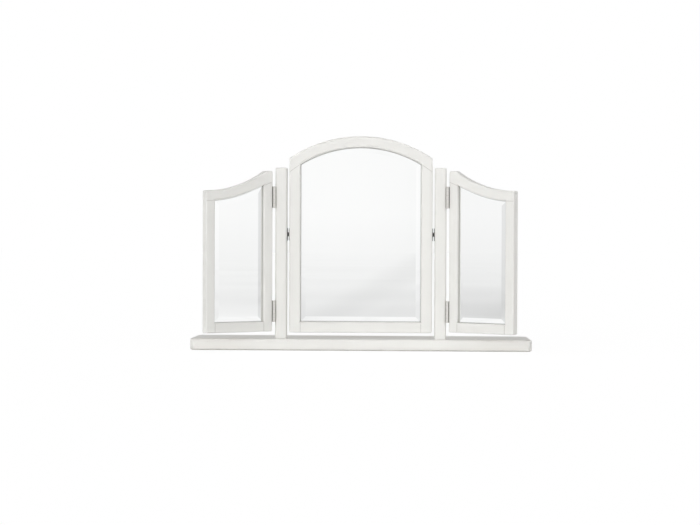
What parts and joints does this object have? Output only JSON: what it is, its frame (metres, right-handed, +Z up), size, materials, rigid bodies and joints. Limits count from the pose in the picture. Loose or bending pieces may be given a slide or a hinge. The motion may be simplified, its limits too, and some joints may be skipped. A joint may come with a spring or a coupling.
{
  "type": "dressing table mirror",
  "caption": "Free-standing dressing table mirror: an arched bevelled mirror tilts between posts on a base board, with swept folding wing mirrors.",
  "frame": {"origin": "middle of the resting mirror's bounding box in X and Y, at the underside of the base board, which stands on the table top", "axes": "+X to the right along the base board as seen from the front, +Y from the viewer towards the wall, +Z up"},
  "size_m": [0.82, 0.2482, 0.514],
  "materials": {
    "painted_wood": "satin off-white paint on wood",
    "mirror_glass": "silvered mirror glass with a polished bevel",
    "hardboard": "plain smooth hardboard",
    "dowel_beech": "plain beech",
    "zinc_screw": "bright zinc plate",
    "nickel_hinge": "satin nickel plate",
    "dark_pivot": "dark antiqued steel"
  },
  "bodies": {
    "base": {"base_board": "painted_wood", "left_lower_hinge_pin": "nickel_hinge", "left_lower_hinge_post_leaf": "nickel_hinge", "left_pivot_post_plate": "dark_pivot", "left_pivot_washer": "dark_pivot", "left_post": "painted_wood", "left_post_hinge_screws": "zinc_screw", "left_upper_hinge_pin": "nickel_hinge", "left_upper_hinge_post_leaf": "nickel_hinge", "pivot_post_screws": "zinc_screw", "post_dowels": "dowel_beech", "post_screws": "zinc_screw", "right_lower_hinge_pin": "nickel_hinge", "right_lower_hinge_post_leaf": "nickel_hinge", "right_pivot_post_plate": "dark_pivot", "right_pivot_washer": "dark_pivot", "right_post": "painted_wood", "right_post_hinge_screws": "zinc_screw", "right_upper_hinge_pin": "nickel_hinge", "right_upper_hinge_post_leaf": "nickel_hinge"},
    "centre_mirror": {"centre_arched_rail": "painted_wood", "centre_back_panel": "hardboard", "centre_bottom_rail": "painted_wood", "centre_dowels": "dowel_beech", "centre_glass": "mirror_glass", "centre_left_stile": "painted_wood", "centre_panel_screws": "zinc_screw", "centre_right_stile": "painted_wood", "left_pivot_frame_plate": "dark_pivot", "left_pivot_stud": "dark_pivot", "pivot_frame_screws": "zinc_screw", "right_pivot_frame_plate": "dark_pivot", "right_pivot_stud": "dark_pivot"},
    "left_wing": {"left_lower_hinge_wing_leaf": "nickel_hinge", "left_upper_hinge_wing_leaf": "nickel_hinge", "left_wing_back_panel": "hardboard", "left_wing_bottom_rail": "painted_wood", "left_wing_dowels": "dowel_beech", "left_wing_glass": "mirror_glass", "left_wing_hinge_screws": "zinc_screw", "left_wing_inner_stile": "painted_wood", "left_wing_outer_stile": "painted_wood", "left_wing_panel_screws": "zinc_screw", "left_wing_swept_rail": "painted_wood"},
    "right_wing": {"right_lower_hinge_wing_leaf": "nickel_hinge", "right_upper_hinge_wing_leaf": "nickel_hinge", "right_wing_back_panel": "hardboard", "right_wing_bottom_rail": "painted_wood", "right_wing_dowels": "dowel_beech", "right_wing_glass": "mirror_glass", "right_wing_hinge_screws": "zinc_screw", "right_wing_inner_stile": "painted_wood", "right_wing_outer_stile": "painted_wood", "right_wing_panel_screws": "zinc_screw", "right_wing_swept_rail": "painted_wood"}
  },
  "joints": [
    {"name": "left_wing_hinge", "type": "hinge", "parent": "base", "child": "left_wing", "pos_m": [-0.2072, -0.0234, 0.2305], "axis": [0, 0, 1], "range_deg": [-35, 65]},
    {"name": "right_wing_hinge", "type": "hinge", "parent": "base", "child": "right_wing", "pos_m": [0.2072, -0.0234, 0.2305], "axis": [0, 0, -1], "range_deg": [-35, 65]},
    {"name": "centre_tilt", "type": "hinge", "parent": "base", "child": "centre_mirror", "pos_m": [0, -0.0069, 0.2785], "axis": [1, 0, 0], "range_deg": [-30, 30]}
  ]
}
